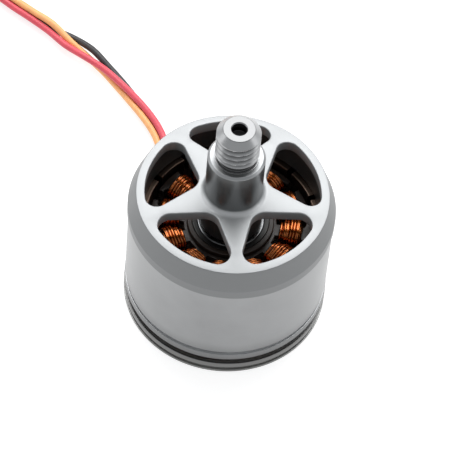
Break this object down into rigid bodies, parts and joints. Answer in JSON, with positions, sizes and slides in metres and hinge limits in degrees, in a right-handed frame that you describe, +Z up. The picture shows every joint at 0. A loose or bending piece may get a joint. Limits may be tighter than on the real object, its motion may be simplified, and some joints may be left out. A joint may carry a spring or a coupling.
{
  "type": "brushless outrunner motor",
  "caption": "Small brushless outrunner motor: a spoked aluminium bell with a threaded prop stud turns around a wound stator on a flat mounting base, with three leads.",
  "frame": {"origin": "centre of the base's flat bottom face, on the shaft's axis", "axes": "+Z up along the shaft towards the stud's tip; the mounting holes lie along X and Y; the leads leave towards +Y"},
  "size_m": [0.0546, 0.0818, 0.0368],
  "materials": {
    "base_aluminium": "turned and bead blasted, anodised grey",
    "bell_aluminium": "turned and milled, satin clear anodised",
    "stud_aluminium": "machined thread, satin",
    "flux_steel": "turned, satin nickel plated",
    "shaft_steel": "ground and polished",
    "spring_steel": "blackened spring steel",
    "bearing_steel": "ground bearing steel",
    "ball_steel": "polished bearing steel",
    "cage_brass": "pressed",
    "shield_steel": "pressed sheet steel",
    "spacer_brass": "turned",
    "magnet_coat": "nickel plated sintered magnet, dulled by glue",
    "lamination_steel": "stacked electrical steel with a dark coat",
    "insulator_nylon": "moulded, very dark green",
    "enamelled_copper": "enamelled copper wire, wound",
    "grommet_rubber": "moulded silicone rubber",
    "yellow_insulation": "soft extruded insulation",
    "red_insulation": "soft extruded insulation",
    "black_insulation": "soft extruded insulation",
    "yellow_shrink": "shrunk polyolefin sleeve",
    "red_shrink": "shrunk polyolefin sleeve",
    "black_shrink": "shrunk polyolefin sleeve",
    "tie_nylon": "moulded nylon band",
    "gold_plate": "gold plated"
  },
  "bodies": {
    "stator": {"base": "base_aluminium", "stator_core": "lamination_steel", "upper_insulator": "insulator_nylon", "lower_insulator": "insulator_nylon", "phase_a_coils": "enamelled_copper", "phase_b_coils": "enamelled_copper", "phase_c_coils": "enamelled_copper", "star_point_joint": "black_shrink", "upper_bearing_outer_race": "bearing_steel", "upper_bearing_shields": "shield_steel", "lower_bearing_outer_race": "bearing_steel", "lower_bearing_shields": "shield_steel", "lead_grommet": "grommet_rubber", "yellow_lead_joint": "black_shrink", "red_lead_joint": "black_shrink", "black_lead_joint": "black_shrink", "yellow_lead": "yellow_insulation", "red_lead": "red_insulation", "black_lead": "black_insulation", "lead_coil": "red_insulation", "lead_tie": "tie_nylon", "yellow_lead_tail": "yellow_insulation", "red_lead_tail": "red_insulation", "black_lead_tail": "black_insulation", "yellow_heat_shrink": "yellow_shrink", "red_heat_shrink": "red_shrink", "black_heat_shrink": "black_shrink", "yellow_bullet_plug": "gold_plate", "red_bullet_plug": "gold_plate", "black_bullet_plug": "gold_plate"},
    "rotor": {"bell": "bell_aluminium", "prop_stud": "stud_aluminium", "flux_ring": "flux_steel", "rotor_magnets": "magnet_coat", "rotor_shaft": "shaft_steel", "shaft_spacer": "spacer_brass", "shim_washer": "shaft_steel", "retaining_clip": "spring_steel", "upper_bearing_inner_race": "bearing_steel", "lower_bearing_inner_race": "bearing_steel"},
    "upper_ball_set": {"upper_bearing_balls": "ball_steel", "upper_bearing_cage": "cage_brass"},
    "lower_ball_set": {"lower_bearing_balls": "ball_steel", "lower_bearing_cage": "cage_brass"}
  },
  "joints": [
    {"name": "rotor_spin", "type": "hinge", "parent": "stator", "child": "rotor", "pos_m": [0, 0, 0], "axis": [0, 0, 1], "continuous": true},
    {"name": "upper_balls_roll", "type": "hinge", "parent": "stator", "child": "upper_ball_set", "pos_m": [0, 0, 0.015], "axis": [0, 0, 1], "continuous": true},
    {"name": "lower_balls_roll", "type": "hinge", "parent": "stator", "child": "lower_ball_set", "pos_m": [0, 0, 0.004], "axis": [0, 0, 1], "continuous": true}
  ],
  "couplings": [
    {"joint": "upper_balls_roll", "follows": "rotor_spin", "ratio": 0.4},
    {"joint": "lower_balls_roll", "follows": "rotor_spin", "ratio": 0.4}
  ]
}
